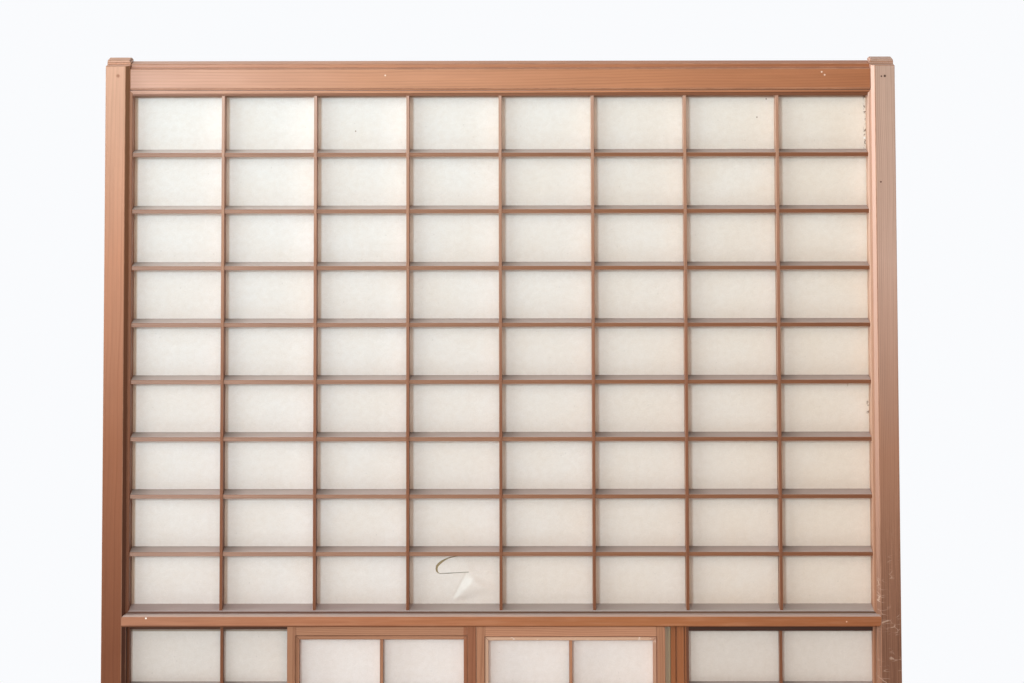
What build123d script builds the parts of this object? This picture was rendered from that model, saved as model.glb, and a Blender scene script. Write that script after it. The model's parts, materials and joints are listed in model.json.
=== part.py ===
"""A sliding paper screen whose lower half has two small sliding screens in front of a glass pane.

Seen from the front, X runs right and Z up. Depths are counted from the front face towards the back,
and Y runs the same way. The origin is the middle of the bottom.
"""
import os
from math import sqrt

from build123d import *

# Whole panel, in millimetres
panel_width = 915.0
panel_height = 1757.0
panel_depth = 30.0

# Frame members, as seen from the front
stile_width = 27.5
stile_chamfer = 4.5
top_rail_height = 29.7
top_rail_drop = 4.3
rail_chamfer = 2.4
middle_rail_height = 12.5
middle_rail_chamfer = 1.4
middle_rail_end_round = 4.0
sill_rail_height = 24.0
bottom_rail_height = 75.0
tenon_length = 20.0
tenon_thickness = 8.0
tenon_front = 11.0
bottom_tenon_inset = 10.0

# Tongues that run in the tracks of the doorway
tongue_front = 11.0
top_tongue_height = 4.5
bottom_tongue_height = 2.5
tongue_bevel = 2.2

# Lattice bars, the bead strips that they end in and the paper behind them
bar_width = 3.4
cross_bar_height = 4.5
vertical_bar_front = 6.6
cross_bar_front = 7.6
bead_width = 3.0
bead_front = 5.6
bead_edge = 0.7
lap_depth = 9.0
bar_tenon_width = 2.5
bar_tenon_depth = 9.0
paper_front = 25.5
paper_thickness = 0.3
paper_lap = 3.0
paper_rebate_width = 4.0

# Upper lattice
columns = 8
rows = 9
row_clear = 60.0
first_row_clear = 68.5
last_row_clear = 60.2

# Lower section
lower_first_row_clear = 68.6
post_from_middle = 212.6
post_stop_width = 5.6
post_face_width = 9.2
post_edge_width = 1.4
quirk_width = 0.9
quirk_depth = 1.4
post_front = 13.5
post_step = 1.1
post_tenon_length = 5.0
side_vertical_bar_front = 15.4
side_cross_bar_front = 16.2

# Glass pane and the strips that hold it
glass_front = 19.0
glass_thickness = 2.0
glass_side_lap = 4.2
glass_top_lap = 5.5
glass_bottom_lap = 3.0
glass_groove_clearance = 0.2
glazing_strip_depth = 6.0
glazing_strip_round = 1.5

# Small sliding screens
screen_width = 216.0
screen_front = 1.5
screen_back = 12.0
screen_face_width = 9.2
screen_bead_width = 3.9
screen_bead_step = 0.8
screen_top_face = {"left": 9.9, "right": 11.0}
screen_bottom_face = 16.0
screen_bar_width = 3.8
screen_cross_bar_height = 4.2
screen_bar_front = 3.6
screen_cross_bar_front = 4.2
screen_paper_front = 11.2
screen_gap = 0.5
screen_shift = -28.5
screen_worn_corner = 3.0
screen_clearance = 0.4
screen_tenon_length = 6.0
screen_tenon_thickness = 4.0
track_front = 3.5
track_width = 6.0
track_depth = 6.0
sill_track_depth = 3.0
track_clearance = 0.3
screen_top_tongue = 4.2

# Waist board below the sill rail
board_thickness = 6.0
board_front = 12.0
board_lap = 8.0

# Tear in the upper paper, in the last row, as (right, down) from the cell's top left corner
columns_left_of_tear = 3
tear_width = 1.1
slit_width = 0.4
tear_start = (58.0, 5.0)
tear_middle = (37.5, 12.2)
tear_turn = (30.5, 22.5)
tear_foot = (34.2, 26.3)
slit_end = (68.2, 24.7)

# How near an edge lies to a height to count as at it
same_height = 0.01

os.makedirs("parts", exist_ok=True)

# Places worked out from the sizes
half_width = panel_width / 2
stile_inner = half_width - stile_width
clear_half = stile_inner - bead_width
column_pitch = (2 * clear_half - (columns - 1) * bar_width) / columns + bar_width
row_pitch = row_clear + cross_bar_height

top_rail_top = panel_height - top_rail_drop
top_rail_bottom = top_rail_top - top_rail_height
upper_top = top_rail_bottom - bead_width
middle_rows = (rows - 2) * row_pitch + cross_bar_height
upper_rows = first_row_clear + middle_rows + last_row_clear
upper_bottom = upper_top - upper_rows
middle_rail_top = upper_bottom - bead_width
middle_rail_bottom = middle_rail_top - middle_rail_height

lower_top = middle_rail_bottom - bead_width
lower_rows = lower_first_row_clear + middle_rows + last_row_clear
lower_bottom = lower_top - lower_rows
sill_rail_top = lower_bottom - bead_width
sill_rail_bottom = sill_rail_top - sill_rail_height

vertical_bar_places = [(i - columns / 2) * column_pitch for i in range(1, columns)]
upper_bar_tops = [upper_top - first_row_clear - i * row_pitch for i in range(rows - 1)]
lower_bar_tops = [lower_top - lower_first_row_clear - i * row_pitch for i in range(rows - 1)]

post_width = post_stop_width + post_face_width + post_edge_width + 2 * quirk_width
post_inner = post_from_middle - post_width
side_clear_inner = post_from_middle + bead_width
side_bead_front = post_front + post_step
glass_back = glass_front + glass_thickness
glass_half = post_inner + glass_side_lap


def front_plane(depth):
    """The plane parallel to the front face at this depth, looking out of it at the viewer."""
    return Plane.XZ.offset(panel_depth / 2 - depth)


def front_view(points, depth):
    """A flat outline as seen from the front, from its (x, z) corners."""
    with BuildSketch(front_plane(depth)) as outline:
        with BuildLine():
            Polyline(*points, close=True)
        make_face()
    return outline.sketch


def block(x_range, z_range, depths, mode=Mode.ADD):
    """Adds or cuts a straight block between two depths in the open part."""
    (left, right), (low, high), (front, back) = sorted(x_range), sorted(z_range), depths
    corners = [(left, low), (right, low), (right, high), (left, high)]
    extrude(front_view(corners, back), amount=back - front, mode=mode)


def save(builder, label):
    """Labels a finished piece and writes it."""
    builder.part.label = label
    export_step(builder.part, f"parts/{label}.step")


def mirrored(x_range, side):
    """A range of X given for the right-hand side, on the side named: -1 for the left."""
    return sorted(side * x for x in x_range)


def mitred_strip(opening, edge, width):
    """The corners of one side of a mitred frame that lies round an opening."""
    left, right, low, high = opening
    corners = {
        "left": [(left, low), (left, high), (left - width, high + width), (left - width, low - width)],
        "right": [
            (right, high),
            (right, low),
            (right + width, low - width),
            (right + width, high + width),
        ],
        "top": [(left, high), (right, high), (right + width, high + width), (left - width, high + width)],
        "bottom": [(right, low), (left, low), (left - width, low - width), (right + width, low - width)],
    }
    return corners[edge]


def bar_tenon_depths(front):
    """The depths between which the stub tenon of a bar with this front lies."""
    middle = (front + paper_front) / 2
    height = min(bar_tenon_depth, (paper_front - front) / 2)
    return middle - height / 2, middle + height / 2


def around(middle, width):
    """The range of this width about a middle."""
    return middle - width / 2, middle + width / 2


# Stiles, with a mortise for each rail's tenon
tenon_depths = (tenon_front, tenon_front + tenon_thickness)
board_depths = (board_front, board_front + board_thickness)
tenons = {
    "top_rail": (top_rail_bottom, top_rail_top - top_tongue_height),
    "middle_rail": (middle_rail_bottom, middle_rail_top),
    "sill_rail": (sill_rail_bottom, sill_rail_top),
    "bottom_rail": (bottom_tongue_height + bottom_tenon_inset, bottom_rail_height),
}


def make_stile(side, label):
    """One upright of the frame. Side is -1 for the left and 1 for the right."""
    outline = [
        (half_width, 0),
        (half_width, panel_height),
        (stile_inner, panel_height),
        (stile_inner, 0),
    ]
    with BuildPart() as stile:
        extrude(front_view([(side * x, z) for x, z in outline], panel_depth), amount=panel_depth)
        inner_front = (
            stile.edges()
            .filter_by(Axis.Z)
            .sort_by(Axis.Y)[:2]
            .sort_by(lambda edge: abs(edge.center().X))[0]
        )
        chamfer(inner_front, length=stile_chamfer)
        across = mirrored((stile_inner, half_width), side)
        shoulder = panel_height - top_tongue_height
        block(across, (shoulder, panel_height), (0, tongue_front), Mode.SUBTRACT)
        block(across, (0, bottom_tongue_height), (0, tongue_front), Mode.SUBTRACT)
        crown = stile.faces().sort_by(Axis.Z)[-1].edges()
        chamfer(crown.filter_by(Axis.X).sort_by(Axis.Y)[0], length=tongue_bevel)
        crown = stile.faces().sort_by(Axis.Z)[-1].edges()
        inner_crown = crown.filter_by(Axis.Y).sort_by(lambda edge: abs(edge.center().X))[0]
        chamfer(inner_crown, length=tongue_bevel)

        into = mirrored((stile_inner, stile_inner + tenon_length), side)
        for height in tenons.values():
            block(into, height, tenon_depths, Mode.SUBTRACT)
        beside = mirrored((stile_inner, stile_inner + paper_rebate_width), side)
        for low, high in ((upper_bottom, upper_top), (lower_bottom, lower_top)):
            reach = bead_width + paper_rebate_width
            block(beside, (low - reach, high + reach), (paper_front, panel_depth), Mode.SUBTRACT)
        beside = mirrored((stile_inner, stile_inner + board_lap), side)
        block(beside, (bottom_rail_height, sill_rail_bottom), board_depths, Mode.SUBTRACT)
    save(stile, label)


make_stile(-1, "left_stile")
make_stile(1, "right_stile")


# Rails
def rail_tenons(low, high):
    """Adds the tenons at both ends of a rail to the open part."""
    for side in (-1, 1):
        into = mirrored((stile_inner, stile_inner + tenon_length), side)
        block(into, (low, high), tenon_depths)


def scribed_ends(low, high):
    """Adds the wedges by which a flush rail reaches over the chamfers of the stiles."""
    for side in (-1, 1):
        with BuildSketch(Plane.XY.offset(low)) as wedge:
            with BuildLine():
                front = -panel_depth / 2
                Polyline(
                    (side * stile_inner, front),
                    (side * (stile_inner + stile_chamfer), front),
                    (side * stile_inner, front + stile_chamfer),
                    close=True,
                )
            make_face()
        extrude(wedge.sketch, amount=high - low)


def round_corner(corner, toward, radius, back):
    """Rounds off a corner of the front view of the open part, down to a depth.

    The corner is (x, z), and toward gives the signs of X and Z that lead from it into the part.
    """
    x, z = corner
    across, up = toward
    middle = radius * (1 - sqrt(2) / 2)
    with BuildSketch(front_plane(back)) as spandrel:
        with BuildLine():
            start, end = (x + across * radius, z), (x, z + up * radius)
            Line((x, z), start)
            ThreePointArc(start, (x + across * middle, z + up * middle), end)
            Line(end, (x, z))
        make_face()
    extrude(spandrel.sketch, amount=back, mode=Mode.SUBTRACT)


def flush_rail(low, high):
    """Adds a rail whose face is in line with the stiles to the open part."""
    block((-stile_inner, stile_inner), (low, high), (0, panel_depth))
    scribed_ends(low, high)
    rail_tenons(low, high)


def front_edges(part, height):
    """The long edges of the open part's front face at this height."""
    along = part.edges().filter_by(Axis.X)
    found = along.filter_by(lambda edge: abs(edge.center().Z - height) < same_height)
    return found.group_by(Axis.Y)[0]


with BuildPart() as top_rail:
    block((-stile_inner, stile_inner), (top_rail_bottom, top_rail_top), (stile_chamfer, panel_depth))
    chamfer(front_edges(top_rail, top_rail_bottom), length=rail_chamfer)
    rail_shoulder = top_rail_top - top_tongue_height
    block(
        (-stile_inner, stile_inner), (rail_shoulder, top_rail_top), (0, tongue_front), Mode.SUBTRACT
    )
    rail_tenons(*tenons["top_rail"])
    rebate = (top_rail_bottom, top_rail_bottom + paper_rebate_width)
    block((-half_width, half_width), rebate, (paper_front, panel_depth), Mode.SUBTRACT)
save(top_rail, "top_rail")

with BuildPart() as middle_rail:
    flush_rail(middle_rail_bottom, middle_rail_top)
    chamfer(front_edges(middle_rail, middle_rail_top), length=middle_rail_chamfer)
    rail_end = stile_inner + stile_chamfer
    round_corner((-rail_end, middle_rail_top), (1, -1), middle_rail_end_round, stile_chamfer)
    round_corner((rail_end, middle_rail_bottom), (-1, 1), middle_rail_end_round, stile_chamfer)
    for rebate in (
        (middle_rail_top - paper_rebate_width, middle_rail_top),
        (middle_rail_bottom, middle_rail_bottom + paper_rebate_width),
    ):
        block((-half_width, half_width), rebate, (paper_front, panel_depth), Mode.SUBTRACT)
    track = (middle_rail_bottom, middle_rail_bottom + track_depth)
    track_depths = (track_front, track_front + track_width)
    block((-stile_inner, stile_inner), track, track_depths, Mode.SUBTRACT)
    for side in (-1, 1):
        post = mirrored((post_inner, post_from_middle), side)
        housing = (middle_rail_bottom, middle_rail_bottom + post_tenon_length)
        block(post, housing, (tenon_front + tenon_thickness / 2, glass_front), Mode.SUBTRACT)
    glass_groove = (
        glass_front - glass_groove_clearance,
        glass_back + glass_groove_clearance,
    )
    groove = (middle_rail_bottom, middle_rail_bottom + glass_top_lap + glass_bottom_lap)
    block((-glass_half, glass_half), groove, glass_groove, Mode.SUBTRACT)
save(middle_rail, "middle_rail")

with BuildPart() as sill_rail:
    flush_rail(sill_rail_bottom, sill_rail_top)
    rebate = (sill_rail_top - paper_rebate_width, sill_rail_top)
    block((-half_width, half_width), rebate, (paper_front, panel_depth), Mode.SUBTRACT)
    track = (sill_rail_top - sill_track_depth, sill_rail_top)
    block((-stile_inner, stile_inner), track, track_depths, Mode.SUBTRACT)
    for side in (-1, 1):
        post = mirrored((post_inner, post_from_middle), side)
        housing = (sill_rail_top - post_tenon_length, sill_rail_top)
        block(post, housing, (tenon_front + tenon_thickness / 2, glass_front), Mode.SUBTRACT)
    groove = (sill_rail_top - glass_bottom_lap, sill_rail_top)
    block((-glass_half, glass_half), groove, glass_groove, Mode.SUBTRACT)
    groove = (sill_rail_bottom, sill_rail_bottom + board_lap)
    block((-stile_inner, stile_inner), groove, board_depths, Mode.SUBTRACT)
save(sill_rail, "sill_rail")

with BuildPart() as bottom_rail:
    block((-stile_inner, stile_inner), (0, bottom_rail_height), (stile_chamfer, panel_depth))
    chamfer(front_edges(bottom_rail, bottom_rail_height), length=rail_chamfer)
    rebate = (0, bottom_tongue_height)
    block((-stile_inner, stile_inner), rebate, (0, tongue_front), Mode.SUBTRACT)
    rail_tenons(*tenons["bottom_rail"])
    groove = (bottom_rail_height - board_lap, bottom_rail_height)
    block((-stile_inner, stile_inner), groove, board_depths, Mode.SUBTRACT)
save(bottom_rail, "bottom_rail")

with BuildPart() as waist_board:
    reach = stile_inner + board_lap
    height = (bottom_rail_height - board_lap, sill_rail_bottom + board_lap)
    block((-stile_inner, stile_inner), height, board_depths)
    block((-reach, reach), (bottom_rail_height, sill_rail_bottom), board_depths)
save(waist_board, "waist_board")


# Posts on both sides of the glass
def make_post(side, label):
    """One moulded post between the glass and a side lattice."""
    body = (middle_rail_bottom, sill_rail_top)
    face_inner = post_inner + post_stop_width + quirk_width
    face_outer = face_inner + post_face_width
    with BuildPart() as post:
        full = mirrored((post_inner, post_from_middle), side)
        block(full, body, (post_front + post_step, panel_depth))
        block(mirrored((face_inner, face_outer), side), body, (post_front, post_front + post_step))
        chamfer_edges = post.faces().sort_by(Axis.Y)[0].edges().filter_by(Axis.Z)
        chamfer(chamfer_edges, length=post_step / 2)
        for inner in (face_inner - quirk_width, face_outer):
            quirk = mirrored((inner, inner + quirk_width), side)
            bottom = post_front + post_step + quirk_depth
            block(quirk, body, (post_front, bottom), Mode.SUBTRACT)
        stop = mirrored((post_inner, post_inner + glass_side_lap), side)
        block(stop, body, (glass_front, panel_depth), Mode.SUBTRACT)
        rebate = mirrored((post_from_middle - paper_rebate_width, post_from_middle), side)
        block(rebate, body, (paper_front, panel_depth), Mode.SUBTRACT)
        for start, reach in (
            (middle_rail_bottom, post_tenon_length),
            (sill_rail_top, -post_tenon_length),
        ):
            depths = (tenon_front + tenon_thickness / 2, glass_front)
            block(full, (start, start + reach), depths)
    save(post, label)


make_post(-1, "left_post")
make_post(1, "right_post")


# Bead strips, mitred at the corners, with holes for the stub tenons of the bars
def make_bead(opening, edge, front, sockets, label):
    """One side of a bead frame. Sockets are the (x range, z range, depths) of the bars' tenons."""
    with BuildPart() as bead:
        corners = mitred_strip(opening, edge, bead_width)
        extrude(front_view(corners, paper_front), amount=paper_front - front)
        inner = {"left": Axis.X, "right": Axis.X, "top": Axis.Z, "bottom": Axis.Z}[edge]
        toward = -1 if edge in ("left", "bottom") else 0
        along = Axis.Z if inner == Axis.X else Axis.X
        front_face = bead.faces().sort_by(Axis.Y)[0]
        chamfer(front_face.edges().filter_by(along).sort_by(inner)[toward], length=bead_edge)
        for x_range, z_range, depths in sockets:
            block(x_range, z_range, depths, Mode.SUBTRACT)
    save(bead, label)


def bead_sockets(opening, edge, uprights, bar_tops, upright_front, cross_front):
    """Where the bars' stub tenons pass through one side of a bead frame."""
    left, right, low, high = opening
    if edge in ("top", "bottom"):
        reach = (high, high + bead_width) if edge == "top" else (low - bead_width, low)
        depths = bar_tenon_depths(upright_front)
        return [(around(x, bar_tenon_width), reach, depths) for x in uprights]
    reach = (right, right + bead_width) if edge == "right" else (left - bead_width, left)
    depths = bar_tenon_depths(cross_front)
    return [(reach, around(z - cross_bar_height / 2, bar_tenon_width), depths) for z in bar_tops]


upper_opening = (-clear_half, clear_half, upper_bottom, upper_top)
for edge in ("left", "right", "top", "bottom"):
    places = bead_sockets(
        upper_opening, edge, vertical_bar_places, upper_bar_tops, vertical_bar_front, cross_bar_front
    )
    make_bead(upper_opening, edge, bead_front, places, f"upper_bead_{edge}")


# Upper lattice, half-lapped at each crossing, with the uprights in front
def upright_bar(x, low, high, front):
    """Adds an upright bar with its stub tenons to the open part."""
    block(around(x, bar_width), (low, high), (front, paper_front))
    depths = bar_tenon_depths(front)
    block(around(x, bar_tenon_width), (low - bead_width, high + bead_width), depths)


def cross_bar(top, left, right, front):
    """Adds a cross bar with its stub tenons to the open part."""
    block((left, right), (top - cross_bar_height, top), (front, paper_front))
    depths = bar_tenon_depths(front)
    tenon = around(top - cross_bar_height / 2, bar_tenon_width)
    block((left - bead_width, right + bead_width), tenon, depths)


lap_back = cross_bar_front + lap_depth
for number, x in enumerate(vertical_bar_places, start=1):
    with BuildPart() as vertical_bar:
        upright_bar(x, upper_bottom, upper_top, vertical_bar_front)
        for top in upper_bar_tops:
            lap = (top - cross_bar_height, top)
            block(around(x, bar_width), lap, (lap_back, paper_front), Mode.SUBTRACT)
    save(vertical_bar, f"upper_vertical_bar_{number}")

for number, top in enumerate(upper_bar_tops, start=1):
    with BuildPart() as horizontal_bar:
        cross_bar(top, -clear_half, clear_half, cross_bar_front)
        for x in vertical_bar_places:
            lap = (top - cross_bar_height, top)
            block(around(x, bar_width), lap, (cross_bar_front, lap_back), Mode.SUBTRACT)
    save(horizontal_bar, f"upper_cross_bar_{number}")


# Papers, glued to the backs of the bars and beads
def paper_sheet(opening, front):
    """Adds a sheet that laps over the bead round an opening to the open part."""
    left, right, low, high = opening
    reach = bead_width + paper_lap
    depths = (front, front + paper_thickness)
    block((left - reach, right + reach), (low - reach, high + reach), depths)


with BuildPart() as upper_paper:
    paper_sheet(upper_opening, paper_front)
    cell_left = vertical_bar_places[columns_left_of_tear - 1] + bar_width / 2
    cell_top = upper_bar_tops[-1] - cross_bar_height
    start, middle, turn, foot, end = [
        (cell_left + right, cell_top - down)
        for right, down in (tear_start, tear_middle, tear_turn, tear_foot, slit_end)
    ]
    with BuildSketch(front_plane(paper_front + paper_thickness)):
        with BuildLine():
            ThreePointArc(start, middle, turn)
            Line(turn, foot)
        trace(line_width=tear_width)
        with BuildLine():
            Line(foot, end)
        trace(line_width=slit_width)
    extrude(amount=paper_thickness, mode=Mode.SUBTRACT)
save(upper_paper, "upper_paper")

# Side lattices of the lower section, each with its beads and paper
for side, side_name in ((-1, "left"), (1, "right")):
    inner_x, outer_x = mirrored((side_clear_inner, clear_half), side)
    side_opening = (inner_x, outer_x, lower_bottom, lower_top)
    side_bar = (inner_x + outer_x) / 2
    with BuildPart() as side_lattice:
        for top in lower_bar_tops:
            cross_bar(top, inner_x, outer_x, side_cross_bar_front)
        upright_bar(side_bar, lower_bottom, lower_top, side_vertical_bar_front)
    save(side_lattice, f"{side_name}_side_lattice")
    for edge in ("left", "right", "top", "bottom"):
        places = bead_sockets(
            side_opening,
            edge,
            [side_bar],
            lower_bar_tops,
            side_vertical_bar_front,
            side_cross_bar_front,
        )
        make_bead(side_opening, edge, side_bead_front, places, f"{side_name}_side_bead_{edge}")
    with BuildPart() as side_paper:
        paper_sheet(side_opening, paper_front)
    save(side_paper, f"{side_name}_side_paper")

# Glass pane and the strips behind its two sides
glass_low = sill_rail_top - glass_bottom_lap
glass_high = middle_rail_bottom + glass_top_lap
with BuildPart() as glass_pane:
    block((-glass_half, glass_half), (glass_low, glass_high), (glass_front, glass_back))
save(glass_pane, "glass_pane")

for side, side_name in ((-1, "left"), (1, "right")):
    with BuildPart() as glazing_strip:
        across = mirrored((post_inner, glass_half), side)
        depths = (glass_back, glass_back + glazing_strip_depth)
        block(across, (sill_rail_top, middle_rail_bottom), depths)
        corner = (
            glazing_strip.edges()
            .filter_by(Axis.Z)
            .group_by(Axis.Y)[-1]
            .sort_by(lambda edge: abs(edge.center().X))[0]
        )
        fillet(corner, radius=glazing_strip_round)
    save(glazing_strip, f"{side_name}_glazing_strip")

# Small sliding screens
screen_moulding = quirk_width + screen_bead_width
screen_low = sill_rail_top + screen_clearance
screen_high = middle_rail_bottom - screen_clearance
tongue_depths = (track_front + track_clearance, track_front + track_width - track_clearance)
screen_tongues = (sill_rail_top - sill_track_depth, middle_rail_bottom + screen_top_tongue)
screen_tenon_front = (screen_front + screen_back - screen_tenon_thickness) / 2
screen_tenon_depths = (screen_tenon_front, screen_tenon_front + screen_tenon_thickness)


def moulding(opening, edge, along):
    """Steps the bead of a screen member back from its face and cuts the quirk beside it."""
    step_back = screen_front + screen_bead_step
    strip = front_view(mitred_strip(opening, edge, screen_bead_width), step_back)
    extrude(strip, amount=step_back - screen_front, mode=Mode.SUBTRACT)
    left, right, low, high = opening
    start = screen_bead_width
    end = screen_bead_width + quirk_width
    quirks = {
        "left": ((left - end, left - start), along),
        "right": ((right + start, right + end), along),
        "top": (along, (high + start, high + end)),
        "bottom": (along, (low - end, low - start)),
    }
    block(*quirks[edge], (screen_front, step_back + quirk_depth / 2), Mode.SUBTRACT)


def screen_paper_rebate(opening, stop):
    """Cuts the shallow rebate for the paper in the back of a screen member."""
    left, right, low, high = opening
    block(
        (left - paper_lap, right + paper_lap),
        (low - paper_lap, high + paper_lap),
        (screen_paper_front, stop),
        Mode.SUBTRACT,
    )


def screen_stile(bounds, opening, edge, worn_corner, label):
    """One upright of a small screen, its bead mitred where the rails' beads meet it."""
    left, right, low, high = opening
    outer, inner = (bounds[0], left) if edge == "left" else (bounds[1], right)
    turn = 1 if edge == "left" else -1
    line = inner - turn * screen_bead_width
    corners = [
        (outer, screen_low),
        (line, screen_low),
        (line, low - screen_bead_width),
        (inner, low),
        (inner, high),
        (line, high + screen_bead_width),
        (line, screen_high),
        (outer, screen_high),
    ]
    with BuildPart() as stile:
        extrude(front_view(corners, screen_back), amount=screen_back - screen_front)
        block((outer, line), screen_tongues, tongue_depths)
        quirk_span = (low - screen_moulding, high + screen_moulding)
        moulding(opening, edge, quirk_span)
        screen_paper_rebate(opening, screen_back)
        for rail_low, rail_high in (
            (screen_low, low - screen_moulding),
            (high + screen_moulding, screen_high),
        ):
            mortise = (line, line - turn * screen_tenon_length)
            block(mortise, (rail_low, rail_high), screen_tenon_depths, Mode.SUBTRACT)
        if worn_corner:
            round_corner((outer, screen_high), (turn, -1), worn_corner, screen_back)
    save(stile, label)


def screen_rail(bounds, opening, edge, label):
    """The top or bottom rail of a small screen, with its tongue in the track."""
    left, right, low, high = opening
    inner, outer = (high, screen_high) if edge == "top" else (low, screen_low)
    turn = 1 if edge == "top" else -1
    line = inner + turn * screen_bead_width
    ends = (left - screen_bead_width, right + screen_bead_width)
    corners = [
        (ends[0], outer),
        (ends[0], line),
        (left, inner),
        (right, inner),
        (ends[1], line),
        (ends[1], outer),
    ]
    tongue_end = screen_tongues[1] if edge == "top" else screen_tongues[0]
    with BuildPart() as rail:
        extrude(front_view(corners, screen_back), amount=screen_back - screen_front)
        block(ends, (outer, tongue_end), tongue_depths)
        moulding(opening, edge, ends)
        screen_paper_rebate(opening, screen_back)
        tenon = (ends[0] - screen_tenon_length, ends[1] + screen_tenon_length)
        tenon_height = (outer, line + turn * quirk_width)
        for x_range in ((tenon[0], ends[0]), (ends[1], tenon[1])):
            block(x_range, tenon_height, screen_tenon_depths)
    save(rail, label)


for side, side_name in ((-1, "left"), (1, "right")):
    near = side * screen_gap / 2 + screen_shift
    screen_bounds = sorted((near, near + side * screen_width))
    frame_width = screen_face_width + screen_moulding
    screen_opening = (
        screen_bounds[0] + frame_width,
        screen_bounds[1] - frame_width,
        screen_low + screen_bottom_face + screen_moulding,
        screen_high - screen_top_face[side_name] - screen_moulding,
    )
    name = f"{side_name}_screen"
    for edge in ("left", "right"):
        worn_corner = screen_worn_corner if side_name == edge == "right" else 0
        screen_stile(screen_bounds, screen_opening, edge, worn_corner, f"{name}_{edge}_stile")
    for edge in ("top", "bottom"):
        screen_rail(screen_bounds, screen_opening, edge, f"{name}_{edge}_rail")
    left, right, low, high = screen_opening
    with BuildPart() as screen_lattice:
        middle = (left + right) / 2
        upright = around(middle, screen_bar_width)
        block(upright, (low, high), (screen_bar_front, screen_paper_front))
        for top in lower_bar_tops:
            cross = (top - screen_cross_bar_height, top)
            block((left, right), cross, (screen_cross_bar_front, screen_paper_front))
    save(screen_lattice, f"{name}_lattice")
    with BuildPart() as screen_paper:
        reach = paper_lap
        depths = (screen_paper_front, screen_paper_front + paper_thickness)
        block((left - reach, right + reach), (low - reach, high + reach), depths)
    save(screen_paper, f"{name}_paper")
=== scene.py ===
import json
import math

import bmesh
import bpy
from mathutils import Matrix, Vector


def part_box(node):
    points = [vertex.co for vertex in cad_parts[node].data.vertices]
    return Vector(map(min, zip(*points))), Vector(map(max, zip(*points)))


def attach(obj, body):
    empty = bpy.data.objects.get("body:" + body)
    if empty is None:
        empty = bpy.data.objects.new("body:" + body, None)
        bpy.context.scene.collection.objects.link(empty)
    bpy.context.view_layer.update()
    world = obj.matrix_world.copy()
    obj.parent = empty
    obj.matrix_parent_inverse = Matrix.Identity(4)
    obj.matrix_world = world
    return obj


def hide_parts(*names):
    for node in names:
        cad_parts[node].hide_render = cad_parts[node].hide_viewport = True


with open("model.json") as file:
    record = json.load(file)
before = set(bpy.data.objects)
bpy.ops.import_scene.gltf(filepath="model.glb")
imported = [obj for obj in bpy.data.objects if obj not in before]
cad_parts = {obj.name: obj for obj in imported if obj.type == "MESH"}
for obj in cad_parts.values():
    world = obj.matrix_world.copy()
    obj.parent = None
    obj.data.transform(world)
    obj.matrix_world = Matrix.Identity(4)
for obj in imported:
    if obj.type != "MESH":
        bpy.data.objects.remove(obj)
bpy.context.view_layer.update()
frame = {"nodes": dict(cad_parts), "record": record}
nodes = frame["nodes"]
scene = bpy.context.scene

# X runs to the right, Y to the back and Z up, from the middle of the panel's lower edge. Places of objects are in
# metres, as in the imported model. Inside the finishes, and where a name or comment says so, they are in millimetres.
MM = 0.001

# Millimetres: half the upper field's width, and the heights between which the wood's colour changes.
SIDE = 430.0
LOW, HIGH = 1100.0, 1750.0

# Millimetres: one bar stands in the middle and the others a pitch apart. Rows are counted down from the last
# cross bar, which is the upper edge of the torn pane.
BAR_PITCH = 107.175
ROW_PITCH = 64.5
LAST_CROSS_BAR = 1197.75
SHEET_TOP = 1722.25

# Millimetres: where the two small screens meet, and the middle of the right one.
SCREENS_MEET, RIGHT_SCREEN = -28.5, 79.75

# Millimetres: the raised crease under the tear, from its lower to its upper end.
CREASE = ((-55.5, 1140.2), (-39.5, 1169.4))


def rightwards(x):
    """0 at the upper field's left side, 1 at its right side."""
    return (x + SIDE) / (2 * SIDE)


def upwards(z):
    """0 at the middle rail, 1 at the top rail."""
    return (z - LOW) / (HIGH - LOW)


def along(point, line):
    """How far along a line a point is, from 0 to 1, and how far to its right."""
    (x0, z0), (x1, z1) = line
    dx, dz = x1 - x0, z1 - z0
    length = math.hypot(dx, dz)
    share = ((point[0] - x0) * dx + (point[1] - z0) * dz) / length**2
    return share, ((point[0] - x0) * dz - (point[1] - z0) * dx) / length


# Finishes, written as sums


class Wire:
    """A value in a finish. Sums on it add Math nodes."""

    def __init__(self, finish, socket):
        self.finish, self.socket = finish, socket

    def __add__(self, other):
        return self.finish.sum("ADD", self, other)

    __radd__ = __add__

    def __sub__(self, other):
        return self.finish.sum("SUBTRACT", self, other)

    def __rsub__(self, other):
        return self.finish.sum("SUBTRACT", other, self)

    def __mul__(self, other):
        return self.finish.sum("MULTIPLY", self, other)

    __rmul__ = __mul__

    def __truediv__(self, other):
        return self.finish.sum("DIVIDE", self, other)

    def __pow__(self, other):
        return self.finish.sum("POWER", self, other)

    def __abs__(self):
        return self.finish.sum("ABSOLUTE", self)

    def least(self, other):
        return self.finish.sum("MINIMUM", self, other)

    def most(self, other):
        return self.finish.sum("MAXIMUM", self, other)

    def held(self):
        """The value kept between 0 and 1."""
        return self.least(1.0).most(0.0)

    def fraction(self):
        return self.finish.sum("FRACT", self)

    def whole(self):
        return self.finish.sum("FLOOR", self)

    def above(self, limit):
        return self.finish.sum("GREATER_THAN", self, limit)

    def step(self, start, end):
        """0 before start, 1 after end, smooth between them; start may be the larger."""
        limits = {"From Min": start, "From Max": end}
        return self.finish.node("ShaderNodeMapRange", {"interpolation_type": "SMOOTHSTEP"}, Value=self, **limits)

    def near(self, middle, half, soft):
        """1 within half of middle, falling to 0 over soft."""
        return abs(self - middle).step(half + soft, half)


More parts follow.
